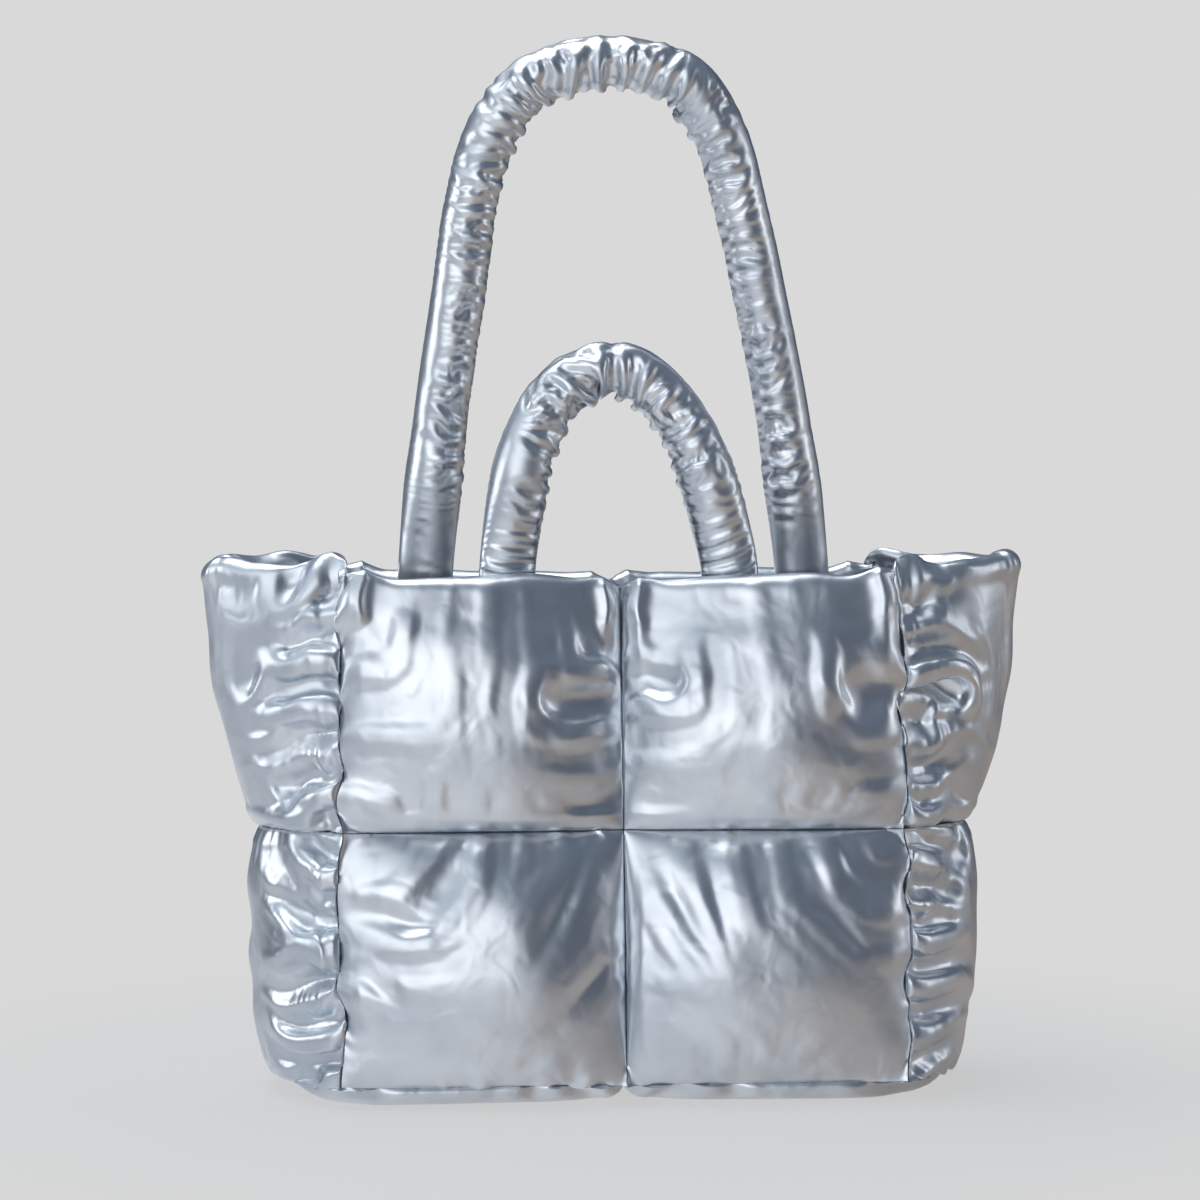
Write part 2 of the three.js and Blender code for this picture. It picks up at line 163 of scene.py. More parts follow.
def link_passes(rows, columns, down, right):
    """Index pairs of all cloth links of one kind, in passes that share no point."""
    every = slice(None)
    reach = down or right
    for first in range(2 * reach):
        if down:
            here, there = slice(first, rows - down, 2 * down), slice(first + down, rows, 2 * down)
            left, shifted = slice(0, columns - abs(right)), slice(abs(right), columns)
            if right < 0:
                left, shifted = shifted, left
            yield (every, here, left), (every, there, shifted)
        else:
            here = slice(first, columns - right, 2 * right)
            there = slice(first + right, columns, 2 * right)
            yield (every, every, here), (every, every, there)


weave_hold = 1.0
bias_hold = 0.35
stiff_reaches = ((2, 3), (2, 4), (4, 8))
carried_on = 0.9
seam_return = 0.985
bumps_per_point = 0.45
spare_columns = 2
wall_inset = 3


def cloth_links(shape, slack_u, slack_v, reaches, stiffness):
    """Every link with its cut length: weave, bias, and the stiffness that resists sharp folds."""
    wide = np.sqrt((np.diff(shape, axis=2) ** 2).sum(0))
    tall = np.sqrt((np.diff(shape, axis=1) ** 2).sum(0))
    wide = wide * (1 + (slack_u[:, 1:] + slack_u[:, :-1]) / 2)
    tall = tall * (1 + (slack_v[1:] + slack_v[:-1]) / 2)
    wide_sum = np.pad(np.cumsum(wide, axis=1), ((0, 0), (1, 0)))
    tall_sum = np.pad(np.cumsum(tall, axis=0), ((1, 0), (0, 0)))
    kinds = [(0, 1, weave_hold, False), (1, 0, weave_hold, False)]
    kinds += [(1, 1, bias_hold, False), (1, -1, bias_hold, False)]
    for reach in reaches:
        kinds += [(0, reach, stiffness, True), (reach, 0, stiffness, True)]
        kinds += [(reach, reach, stiffness / 2, True), (reach, -reach, stiffness / 2, True)]
    links = []
    for down, right, hold, only_push in kinds:
        for here, there in link_passes(*shape.shape[1:], down, right):
            across = (wide_sum[there[1:]] - wide_sum[here[1:]]) if right else 0
            along = (tall_sum[there[1:]] - tall_sum[here[1:]]) if down else 0
            if right and down:
                across = wide_sum[here[1], there[2]] - wide_sum[here[1], here[2]]
                along = tall_sum[there[1], here[2]] - tall_sum[here[1], here[2]]
            links.append((here, there, np.hypot(across, along), hold / 2, only_push))
    return links


def sewn_walls(bed, out, edges):
    """For each sewn edge, the upright face between two puffs, as points and normals."""
    walls = []
    for edge in edges:
        pick = {"left": np.s_[:, :, :1], "right": np.s_[:, :, -1:],
                "low": np.s_[:, :1, :], "high": np.s_[:, -1:, :]}[edge]
        after, before = slice(wall_inset, wall_inset + 1), slice(-wall_inset - 1, -wall_inset)
        near = {"left": np.s_[:, :, after], "right": np.s_[:, :, before],
                "low": np.s_[:, after, :], "high": np.s_[:, before, :]}[edge]
        inward = bed[near] - bed[pick]
        facing = out[pick]
        walls.append((bed[pick], unit(inward - facing * (inward * facing).sum(0))))
    return walls


def settle(form, rows, columns, rounds, sewn=(), around=False, fill=0.06,
           cling=0.01, stiffness=0.5, shake=1.5 * mm, pucker=(-1 * mm, 3 * mm)):
    """Cloth over its filling, settled on finer and finer grids, with its edges sewn down."""
    seed = int(dice.integers(1 << 30))
    wrap = spare_columns
    p = None
    for step, turns in enumerate(rounds):
        rows_now, columns_now = rows * 2 ** step, columns * 2 ** step
        u = np.linspace(0, 1, columns_now + 1)
        if around:
            u = np.arange(-wrap, columns_now + wrap) / columns_now
        u, v = np.meshgrid(u, np.linspace(0, 1, rows_now + 1))
        bed, out, height, slack_u, slack_v = form(u, v)
        shape = bed + out * height
        if p is None:
            p = shape.copy()
        elif around:
            p = halved(p)[:, :, wrap:-wrap + 1]
        else:
            p = halved(p)
        if step < 2:
            bumps = hills(seed + step, u % 1, v,
                          columns_now * bumps_per_point, rows_now * bumps_per_point)
            p = p + out * bumps * shake / 3 ** step
        links = cloth_links(shape, slack_u, slack_v, stiff_reaches[step], stiffness)
        walls = sewn_walls(bed, out, sewn)
        pins = [(np.s_[:, :1], "low"), (np.s_[:, -1:], "high")]
        if not around:
            pins += [(np.s_[:, :, :1], "left"), (np.s_[:, :, -1:], "right")]
        pins = [(pick, shape[pick].copy(), out[pick], pucker if edge in sewn else (0, 0))
                for pick, edge in pins]
        before = p.copy()
        for _ in range(turns):
            drift = (p - before) * carried_on
            before = p.copy()
            p = p + drift
            short = height - ((p - bed) * out).sum(0)
            p += out * np.where(short > 0, short * fill, short * cling)
            for here, there, cut, hold, only_push in links:
                gap = p[there] - p[here]
                length = np.sqrt((gap * gap).sum(0)) + tiny
                pull = (length - cut) / length * hold
                if only_push:
                    pull = np.minimum(pull, 0)
                gap *= pull
                p[here] += gap
                p[there] -= gap
                if around:
                    p[:, :, :wrap] = p[:, :, columns_now:columns_now + wrap]
                    p[:, :, columns_now + wrap:] = p[:, :, wrap:2 * wrap]
            for point, normal in walls:
                p += normal * np.maximum(-((p - point) * normal).sum(0), 0)
            for pick, seam, facing, (low, high) in pins:
                lift = ((p[pick] - seam) * facing).sum(0) * seam_return
                p[pick] = seam + facing * np.clip(lift, low, high)
            p[2] = np.maximum(p[2], floor_gap)
        if not around:
            p = ironed(p)
    return p[:, :, wrap:-wrap] if around else p


def grid_faces(index, flip=False):
    """Four-sided faces of a grid of point numbers."""
    corners = [index[:-1, :-1], index[:-1, 1:], index[1:, 1:], index[1:, :-1]]
    return np.stack(corners[::-1] if flip else corners, -1).reshape(-1, 4).tolist()


def border(index):
    """A grid's rim of point numbers, once round, each with its share of the way."""
    rows, columns = (np.linspace(0, 1, n) for n in index.shape)
    walk = [(share, number) for share, number in zip(columns[:-1], index[0, :-1])]
    walk += [(1 + share, number) for share, number in zip(rows[:-1], index[:-1, -1])]
    walk += [(2 + share, number) for share, number in zip(columns[:-1], index[-1, :0:-1])]
    walk += [(3 + share, number) for share, number in zip(rows[:-1], index[:0:-1, 0])]
    return walk + [(4, index[0, 0])]


def strip_faces(outer, inner):
    """Triangles between two rims with different numbers of points."""
    faces = []
    o = n = 0
    while o + 1 < len(outer) or n + 1 < len(inner):
        outer_next = outer[o + 1][0] if o + 1 < len(outer) else math.inf
        inner_next = inner[n + 1][0] if n + 1 < len(inner) else math.inf
        if outer_next <= inner_next:
            faces.append((outer[o][1], inner[n][1], outer[o + 1][1]))
            o += 1
        else:
            faces.append((outer[o][1], inner[n][1], inner[n + 1][1]))
            n += 1
    return [tuple(int(number) for number in face) for face in faces]


sharpest_fold = math.radians(75)


def padded_wall(name, cloth, lining, material):
    """Closed puff: the settled cloth outside, its plain lining inside, joined at the seams."""
    outer_index = np.arange(cloth[0].size).reshape(cloth.shape[1:])
    inner_index = cloth[0].size + np.arange(lining[0].size).reshape(lining.shape[1:])
    points = np.concatenate([cloth.reshape(3, -1), lining.reshape(3, -1)], axis=1).T
    faces = grid_faces(outer_index) + grid_faces(inner_index, flip=True)
    faces += strip_faces(border(outer_index), border(inner_index))
    return soft_piece(name, points, faces, [name], material)


def soft_piece(name, points, faces, nodes, material):
    """A padded mesh that stands for its solids, with its faces turned out."""
    mesh = bpy.data.meshes.new(name)
    mesh.from_pydata(points.tolist(), [], faces)
    mesh.update()
    corners = points[np.array([face[:3] for face in faces])]
    turned = np.einsum("ij,ij->i", corners[:, 0], np.cross(corners[:, 1], corners[:, 2])).sum()
    if turned < 0:
        mesh.flip_normals()
    mesh.shade_smooth()
    mesh.set_sharp_from_angle(angle=sharpest_fold)
    mesh.materials.append(material)
    piece = bpy.data.objects.new(name + "_cloth", mesh)
    bpy.context.scene.collection.objects.link(piece)
    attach(piece, "root")
    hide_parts(*nodes)
    return piece


class Shade:
    """A shader value: arithmetic on it adds Math nodes, and node() adds any other node."""

    def __init__(self, tree, socket=None):
        self.tree, self.socket = tree, socket

    def node(self, kind, settings=None, inputs=None, output=0):
        made = self.tree.nodes.new(kind)
        for name, value in (settings or {}).items():
            setattr(made, name, value)
        for name, value in (inputs or {}).items():
            if isinstance(value, Shade):
                self.tree.links.new(value.socket, made.inputs[name])
            else:
                made.inputs[name].default_value = value
        return Shade(self.tree, made.outputs[output])

    def math(self, operation, *values):
        return self.node("ShaderNodeMath", {"operation": operation}, dict(enumerate(values)))

    def __add__(self, other):
        return self.math("ADD", self, other)

    def __rsub__(self, other):
        return self.math("SUBTRACT", other, self)

    def __mul__(self, other):
        return self.math("MULTIPLY", self, other)

    __radd__ = __add__
    __rmul__ = __mul__

    def clipped(self, low, high):
        """How far the value has come from low to high, between 0 and 1."""
        settings = {"interpolation_type": "SMOOTHSTEP"}
        return self.node("ShaderNodeMapRange", settings, {"Value": self, 1: low, 2: high})

    def mixed(self, first, second):
        """A colour between two, with this value as the share of the second.

        A Mix node takes its two colours at inputs 6 and 7 and gives the mixed one at output 2.
        """
        settings = {"data_type": "RGBA"}
        return self.node("ShaderNodeMix", settings, {0: self, 6: first, 7: second}, output=2)


bright_silver = (0.79, 0.83, 0.875, 1)
worn_silver = (0.67, 0.72, 0.775, 1)
smooth_roughness = 0.285
crumple_roughness = 0.05
worn_roughness = 0.06
worn_from, worn_to = 0.35, 0.7
crumples_per_metre = 55
lumps_per_metre = 24
crumple_height = 1.1 * mm
relief_share = 0.65
metal_share = 0.95


def silver_cloth(name):
    """Thin metal-coated cloth: soft reflections, cloudy where it is worn, with faint crumples."""
    material = bpy.data.materials.new(name)
    material.use_nodes = True
    tree = material.node_tree
    shader = tree.nodes["Principled BSDF"]
    place = Shade(tree).node("ShaderNodeTexCoord", output="Object")
    crumple = Shade(tree).node("ShaderNodeTexNoise", inputs={
        "Vector": place, "Scale": crumples_per_metre,
        "Detail": 1.3, "Roughness": 0.45, "Distortion": 0.6})
    lumps = Shade(tree).node("ShaderNodeTexNoise", inputs={
        "Vector": place, "Scale": lumps_per_metre, "Detail": 2})
    worn = lumps.clipped(worn_from, worn_to)
    tone = worn.mixed(bright_silver, worn_silver)
    tree.links.new(tone.socket, shader.inputs["Base Color"])
    roughness = smooth_roughness + crumple_roughness * crumple + worn_roughness * worn
    tree.links.new(roughness.socket, shader.inputs["Roughness"])
    bump = Shade(tree).node("ShaderNodeBump", inputs={
        "Distance": crumple_height, "Height": lumps * relief_share + crumple * relief_share})
    tree.links.new(bump.socket, shader.inputs["Normal"])
    shader.inputs["Metallic"].default_value = metal_share
    return material


shell = silver_cloth("silver_shell")


def panel_point(side, across, level):
    """A panel's skeleton: across runs from -1 at the left corner seam to 1 at the right."""
    pull = between(panel_pulls, level) * np.cos(across * np.pi / 2) ** 2
    edge = np.abs(across)
    rim = rim_height + rim_peak * edge ** 3 - rim_notch * (1 - np.minimum(edge, 1)) ** 8
    z = between((base_seam_height, band_height, rim), level)
    return np.stack([across * half_width, side * (between(seam_depths, level) - pull), z])


def gusset_point(hand, along, level):
    """A gusset's skeleton: along runs from 0 at the front corner seam to 1 at the back one."""
    out = 1 - np.abs(2 * along - 1) ** between(gusset_roundness, level)
    rim = rim_height + rim_peak + wing_rise * out
    z = between((base_seam_height, band_height, rim), level)
    x = hand * (half_width + between(gusset_reaches, level) * out)
    return np.stack([x, (2 * along - 1) * between(seam_depths, level), z])


def base_point(hand, across, along):
    """Half of the base: across from 0 at the middle seam, along from -1 at the front seam."""
    x = hand * across * (half_width + gusset_reaches[0] * (1 - along ** 2))
    return np.stack([x, along * seam_depths[0], base_seam_height + 0 * x])


def panel_normal(side, across, level):
    return skeleton_normal(lambda u, v: panel_point(side, u, v), across, level, (0, side, 0))


def gusset_normal(hand, along, level):
    return skeleton_normal(lambda u, v: gusset_point(hand, u, v), along, level, (hand, 0, 0))


def base_form(hand):
    def form(u, v):
        across, along = inset(u, half_width), 2 * inset(v, 2 * seam_depths[0]) - 1
        bed = base_point(hand, across, along)
        from_seam = (1 - np.abs(along)) * seam_depths[0]
        from_gusset = (1 - across) * (half_width + gusset_reaches[0] * (1 - along ** 2))
        front, back = panel_normal(-1, hand * across, 0 * u), panel_normal(1, hand * across, 0 * u)
        panel = np.where(along < 0, front, back)
        gusset = gusset_normal(hand, (along + 1) / 2, 0 * u)
        out = unit(straight_down + panel * seam_share(from_seam) + gusset * seam_share(from_gusset))
        height = seam_edge + dome(u) * dome(v) * (base_seam_height - seam_edge) * base_swell
        from_edge = np.minimum(from_seam, from_gusset)
        gathers = base_slack + base_gather * np.exp(-from_edge / base_gather_reach)
        return bed, out, height, gathers, gathers
    return form


def lining_of(form, rows, columns):
    """The plain inner face of a puff, a little inside its skeleton."""
    u, v = np.meshgrid(np.linspace(0, 1, columns + 1), np.linspace(0, 1, rows + 1))
    bed, out = form(u, v)[:2]
    return bed - out * lining_depth


for hand, name in ((-1, "base_left"), (1, "base_right")):
    form = base_form(hand)
    cloth = settle(form, rows=24, columns=28, rounds=(120, 80),
                   sewn=("left", "right", "low", "high"))
    padded_wall(name, cloth, lining_of(form, rows=8, columns=8), shell)

# The front and back panels are each quilted into four puffs. Each puff is one square of the
# silver cloth over a thick loose filling, sewn down all round, so it domes and presses against
# its neighbours. The upper puffs roll over the rim. Handling has left dents and folds.
panel_swell = 27 * mm
crown_steepness = 0.68
left_lean, right_lean = 1.3, 0.95
panel_lump = 0.06
panel_lump_count = 5
cloth_slack = -0.015
seam_gather = 0.024
seam_gather_reach = 8 * mm
seam_gather_count = 7
least_loose, loose_swing = 0.35, 2.2
end_gather_share, rim_gather_share = 2, 0.2
seam_swing = 3.4 * mm
swing_length = 360 * mm
swing_count = 18
swing_seed = 100
dimple_depth = 2.2 * mm
dimple_reach = 10 * mm
dimple_count = 20
rim_share = 0.60
rim_roundness = 2.4
rim_fullness = 16 * mm
rim_gather_reach = 12 * mm
rim_band = 17 * mm
rim_band_width = rim_band / 2.5
rim_band_depth = 2 * mm
rim_band_mean, rim_band_swing, rim_band_count = 0.7, 0.6, 4
rim_wave = 2.5 * mm
rim_wave_count = 5
rim_fade = 6
ear_rise = 3 * mm
ear_width = 10 * mm
ear_inset = 1.4 * ear_width
leaf_taper, leaf_narrowest, leaf_widest = 0.7, 0.25, 1.4
dents = (
    # puff, across and up in it, long, wide, turn in degrees, deep, sharp
    # Long, wide and deep are shares of the puff's height.
    ("front_upper_left", 0.87, 0.55, 0.16, 0.055, -2, 0.060, 1.8),
    ("front_upper_left", 0.90, 0.12, 0.14, 0.060, 25, 0.035, 1.3),
    ("front_upper_right", 0.92, 0.57, 0.12, 0.085, 10, 0.060, 1.6),
    ("front_upper_right", 0.09, 0.64, 0.11, 0.045, 176, 0.045, 1.6),
    ("front_lower_left", 0.13, 0.68, 0.20, 0.040, -14, 0.050, 1.3),
    ("front_lower_left", 0.36, 0.84, 0.20, 0.045, 52, 0.045, 1.3),
    ("front_lower_left", 0.80, 0.76, 0.26, 0.035, 62, 0.022, 1.0),
    ("front_lower_left", 0.88, 0.40, 0.22, 0.035, 50, 0.018, 1.0),
    ("front_lower_right", 0.16, 0.78, 0.26, 0.035, -62, 0.024, 1.0),
    ("front_lower_right", 0.30, 0.82, 0.24, 0.030, -76, 0.018, 1.0),
    ("front_lower_right", 0.78, 0.62, 0.18, 0.030, -50, 0.018, 1.0),
    ("front_lower_right", 0.96, 0.86, 0.16, 0.050, 35, 0.040, 1.0),
    ("back_upper_left", 0.84, 0.48, 0.16, 0.07, 15, 0.050, 1.6),
    ("back_upper_right", 0.88, 0.62, 0.15, 0.08, -8, 0.050, 1.6),
    ("back_upper_right", 0.20, 0.30, 0.20, 0.05, -40, 0.040, 1.6),
    ("back_lower_left", 0.24, 0.78, 0.24, 0.05, 38, 0.050, 1.0),
    ("back_lower_right", 0.20, 0.75, 0.24, 0.04, -55, 0.040, 1.0),
    ("back_lower_right", 0.86, 0.72, 0.20, 0.05, 30, 0.050, 1.0),
    ("left_gusset_lower", 0.78, 0.84, 0.26, 0.06, -50, 0.050, 1.0),
    ("left_gusset_lower", 0.25, 0.80, 0.26, 0.06, 50, 0.045, 1.0),
    ("left_gusset_upper", 0.80, 0.20, 0.28, 0.07, 50, 0.050, 1.0),
    ("left_gusset_upper", 0.26, 0.22, 0.26, 0.06, -50, 0.045, 1.0),
    ("right_gusset_lower", 0.24, 0.84, 0.26, 0.06, 50, 0.050, 1.0),
    ("right_gusset_lower", 0.76, 0.80, 0.26, 0.06, -50, 0.045, 1.0),
    ("right_gusset_upper", 0.22, 0.20, 0.28, 0.07, -50, 0.050, 1.0),
    ("right_gusset_upper", 0.74, 0.22, 0.26, 0.06, 50, 0.045, 1.0),
)


def dent_depth(puff, across, up, wide, tall):
    """How far the dents press a puff in."""
    depth = 0 * across
    for name, dent_across, dent_up, long, thin, turn, deep, sharp in dents:
        if name != puff:
            continue
        right, over = (across - dent_across) * wide / tall, up - dent_up
        cosine, sine = math.cos(math.radians(turn)), math.sin(math.radians(turn))
        first, second = right * cosine + over * sine, over * cosine - right * sine
        tip = np.clip(1 - leaf_taper * first / long, leaf_narrowest, leaf_widest)
        away = (first / long) ** 2 + (second / thin / tip) ** 2
        depth = depth + deep * tall * np.exp(-away ** sharp)
    return depth


def rolled_over(bed, out, height, turned):
    """The part of a wall past its rim, turned over a soft roll down to the lining."""
    radius = (height + lining_depth) / 2
    angle = np.pi * np.clip(turned, 0, 1)
    up = unit(-straight_down - out * (-straight_down * out).sum(0))
    middle = bed + out * (height - radius)
    rolled = out * np.cos(angle) + up * np.sin(angle)
    past = turned > 0
    return np.where(past, middle, bed), np.where(past, rolled, out), np.where(past, radius, height)


def uneven_rim(cloth, width, waves):
    """Settled cloth with its rim risen and sunk a little, and risen to soft ears by its seams."""
    rows, columns = cloth.shape[1:]
    u, v = np.meshgrid(np.linspace(0, 1, columns), np.linspace(0, 2, rows))
    from_side = np.minimum(u, 1 - u) * width
    ears = ear_rise * np.exp(-((from_side - ear_inset) / ear_width) ** 2)
    swell = rim_wave * hills(int(dice.integers(1 << 30)), u, 0 * v, waves, 0) * dome(u)
    cloth[2] += (swell + ears) * np.minimum(v, 1) ** rim_fade
    return cloth


def slanted(u, v):
    """Places on the unit square turned askew, so hills don't line up with the seams."""
    straight, askew = 0.68, 0.32
    return straight * u + askew * v, askew + straight * v - askew * u


def line_spread(raw, line_u, line_v, end):
    """Even shares of a form's line, as a look-up from share of cloth to place."""
    bed, out, height = raw(line_u, line_v)[:3]
    line = (bed + out * height).reshape(3, -1)
    length = np.concatenate([[0], np.cumsum(np.sqrt((np.diff(line, axis=1) ** 2).sum(0)))])
    return length / length[-1], np.linspace(0, end, length.size)


def evened(raw, end_v=1.0, count=300):
    """A form on which evenly spaced cloth lies evenly, at the seams and over the middle."""
    u, v = np.linspace(0, 1, count)[None, :], np.linspace(0, end_v, count)[None, :]
    middle_u = line_spread(raw, u, 0.5 + 0 * u, 1)
    middle_v, edge_v = (line_spread(raw, share + 0 * v, v, end_v) for share in (0.5, 0))

    def form(share_u, share_v):
        fill_u, fill_v = dome(share_u), dome(share_v)
        at_u = share_u + fill_v * (np.interp(share_u, *middle_u) - share_u)
        low, high = np.interp(share_v, *edge_v), np.interp(share_v, *middle_v)
        return raw(at_u, low + fill_u * (high - low))
    return form


def corner_wander(side, hand, z, distance):
    """Sideways zigzag that the gathers pull into a corner seam."""
    number = 2 * (side > 0) + (hand > 0)
    swing = hills(swing_seed + number, z / swing_length, 0 * z, swing_count, 0)
    return hand * swing * seam_swing * np.exp(-(distance / corner_round) ** 2)


def panel_wall(name, side, hand, tier):
    """One panel puff as a form: place, direction out, height and looseness of its cloth."""
    tall = (rim_height - band_height) if tier else (band_height - base_seam_height)
    seed = int(dice.integers(1 << 30))

    def raw(u, v):
        turned, v = v - 1, np.minimum(v, 1)
        rim_edge = tier * (rim_fullness * dome(u, rim_roundness) + seam_edge + lining_depth) / 2
        across, level = hand * inset(u, half_width), tier + inset(v, tall) * (1 - rim_edge / tall)
        bed = panel_point(side, across, level)
        from_corner = (1 - np.abs(across)) * half_width
        bed[0] += corner_wander(side, hand, bed[2], from_corner)
        corner = gusset_normal(hand, 0 * u + (side > 0), level)
        out = panel_normal(side, across, level) + corner * seam_share(from_corner)
        out = unit(out + straight_down * seam_share(bed[2] - base_seam_height))
        lumps = 1 + panel_lump * hills(seed, *slanted(u, v), panel_lump_count, panel_lump_count)
        seen = u if hand * -side > 0 else 1 - u
        from_side = np.minimum(u, 1 - u) * half_width
        pressed = dent_depth(name, seen, v, half_width, tall)
        rise = dome(v, 2, crown_steepness)
        if tier:
            rise = np.where(v < 0.5, rise, rim_share + (1 - rim_share) * dome(v, rim_roundness, 1))
            below = ((1 - v) * tall - rim_band) / rim_band_width
            uneven = rim_band_mean + rim_band_swing * hills(seed + 5, u, v, rim_band_count, 0)
            pressed = pressed + rim_band_depth * np.exp(-below ** 2) * uneven
        from_end = v * tall if tier else np.minimum(v, 1 - v) * tall
        edge = np.minimum(from_side, from_end)
        dimples = np.maximum(hills(seed + 4, *slanted(u, v), dimple_count, dimple_count), 0)
        pressed = pressed + dimple_depth * (dimples * np.exp(-edge / dimple_reach))
        full = dome(seen ** (left_lean if hand * side > 0 else right_lean), 2, crown_steepness)
        height = seam_edge + full * rise * (panel_swell * lumps - pressed)
        at_rim = tier * np.exp(-((1 - v) * tall + turned.clip(0) * rim_fullness) / rim_gather_reach)
        patches_u = np.maximum(hills(seed + 1, u, v, seam_gather_count, 2), 0)
        patches_v = np.maximum(hills(seed + 2, u, v, 2, seam_gather_count), 0)
        loose_u, loose_v = (least_loose + loose_swing * patch for patch in (patches_u, patches_v))
        at_end = end_gather_share * np.exp(-from_end / seam_gather_reach)
        slack_u = cloth_slack + seam_gather * loose_u * (at_end + rim_gather_share * at_rim)
        slack_v = cloth_slack + seam_gather * loose_v * np.exp(-from_side / seam_gather_reach)
        bed, out, height = rolled_over(bed, out, height, turned)
        return bed, out, height, slack_u, slack_v
    return raw


for side, face in ((-1, "front"), (1, "back")):
    for hand in (-1, 1):
        for tier, row in ((0, "lower"), (1, "upper")):
            name = f"{face}_{row}_{'left' if hand * -side < 0 else 'right'}"
            wall = panel_wall(name, side, hand, tier)
            sewn = ("left", "right", "low") + (() if tier else ("high",))
            cloth = settle(evened(wall, 1 + tier), rows=26, columns=28, rounds=(220, 160, 80),
                           sewn=sewn, fill=0.15, shake=0.4 * mm)
            cloth = uneven_rim(cloth, half_width, rim_wave_count) if tier else cloth
            padded_wall(name, cloth, lining_of(wall, rows=16, columns=16), shell)

# The gussets close the sides. Each is a wider and longer piece of the same padded cloth drawn
# in along the corner seams, so deep gathers run out from there, and it folds outward into a
# wing toward the rim. One puff lies below the band seam and one above.
gusset_swell = 17 * mm
gusset_fullness = 2.3
gusset_steepness = 0.6
gusset_rim_share = 0.60
gusset_rim_waves = 9
gusset_width = 190 * mm
gusset_lump = 0.15
gusset_lump_count = 6
gather_reach = 36 * mm
pocket_pitch = 25 * mm
pocket_depth = 16 * mm
pocket_rise = 3 * mm
pocket_edge = 8 * mm
pocket_wander = 0.7
pocket_swing = 0.5
pocket_count = 7
gusset_slack = -0.01
end_gather, side_gather = 0.10, 0.08
gather_swing = 0.7
end_gather_reach = 22 * mm
wing_gather_reach = 20 * mm
wing_roll = 12 * mm


def eased(value, low, high):
    share = np.clip((value - low) / (high - low), 0, 1)
    return share * share * (3 - 2 * share)


def gusset_wall(name, hand, tier):
    """One gusset puff as a form, with pockets that run in from its corner seams."""
    tall = (rim_height - band_height) if tier else (band_height - base_seam_height)
    seed = int(dice.integers(1 << 30))

    def raw(u, v):
        turned, v = v - 1, np.minimum(v, 1)
        rim_swell = gusset_swell * gusset_rim_share * dome(u, rim_roundness)
        rim_edge = tier * (rim_swell + seam_edge + lining_depth) / 2
        along, level = inset(u, gusset_width), tier + inset(v, tall) * (1 - rim_edge / tall)
        bed = gusset_point(hand, along, level)
        front = panel_normal(-1, 0 * u + hand, level)
        back = panel_normal(1, 0 * u + hand, level)
        from_corner = (1 - np.abs(2 * along - 1)) * between(seam_depths, level)
        bed[0] += np.where(along < 0.5, corner_wander(-1, hand, bed[2], from_corner),
                           corner_wander(1, hand, bed[2], from_corner))
        out = gusset_normal(hand, along, level)
        out = out + np.where(along < 0.5, front, back) * seam_share(from_corner)
        out = unit(out + straight_down * seam_share(bed[2] - base_seam_height))
        lumps = 1 + gusset_lump * hills(seed, *slanted(u, v), gusset_lump_count, gusset_lump_count)
        seen = u if hand > 0 else 1 - u
        pressed = dent_depth(name, seen, v, gusset_width, tall)
        rise = dome(v, 2, gusset_steepness)
        if tier:
            rim_rise = gusset_rim_share + (1 - gusset_rim_share) * dome(v, 2, 1)
            rise = np.where(v < 0.5, rise, rim_rise)
        from_side = np.minimum(u, 1 - u) * gusset_width
        wander = hills(seed + 2, *slanted(u, v), gusset_lump_count, pocket_count)
        fold = (2 * ((v * tall / pocket_pitch + pocket_wander * wander) % 1) - 1) ** 2
        reach = gather_reach * (1 + pocket_swing * hills(seed + 4, u, v, 1, pocket_count))
        pocket = pocket_depth * (1 - fold) * np.exp(-(from_side / reach) ** 2)
        pocket = pocket * (1 + pocket_swing * wander) * eased(from_side, 0, pocket_edge)
        full = dome(u, gusset_fullness)
        height = seam_edge + full * (rise * (gusset_swell * lumps - pressed) + pocket_rise) - pocket
        height = np.maximum(height, seam_edge / 2)
        from_end = v * tall if tier else np.minimum(v, 1 - v) * tall
        loose = 1 + gather_swing * hills(seed + 1, u, v, 4, 8)
        at_rim = tier * np.exp(-((1 - v) * tall + turned.clip(0) * wing_roll) / wing_gather_reach)
        at_end = np.exp(-from_end / end_gather_reach)
        slack_u = gusset_slack + end_gather * loose * (at_end + at_rim)
        slack_v = gusset_slack + side_gather * loose * np.exp(-from_side / gather_reach)
        bed, out, height = rolled_over(bed, out, height, turned)
        return bed, out, height, slack_u, slack_v
    return raw


for hand, side_name in ((-1, "left"), (1, "right")):
    for tier, row in ((0, "lower"), (1, "upper")):
        name = f"{side_name}_gusset_{row}"
        wall = gusset_wall(name, hand, tier)
        sewn = ("left", "right", "low") + (() if tier else ("high",))
        cloth = settle(evened(wall, 1 + tier), rows=26, columns=32, rounds=(220, 160, 80),
                       sewn=sewn, fill=0.2, cling=0.05, stiffness=0.25, shake=0.8 * mm)
        cloth = uneven_rim(cloth, gusset_width, gusset_rim_waves) if tier else cloth
        padded_wall(name, cloth, lining_of(wall, rows=16, columns=16), shell)

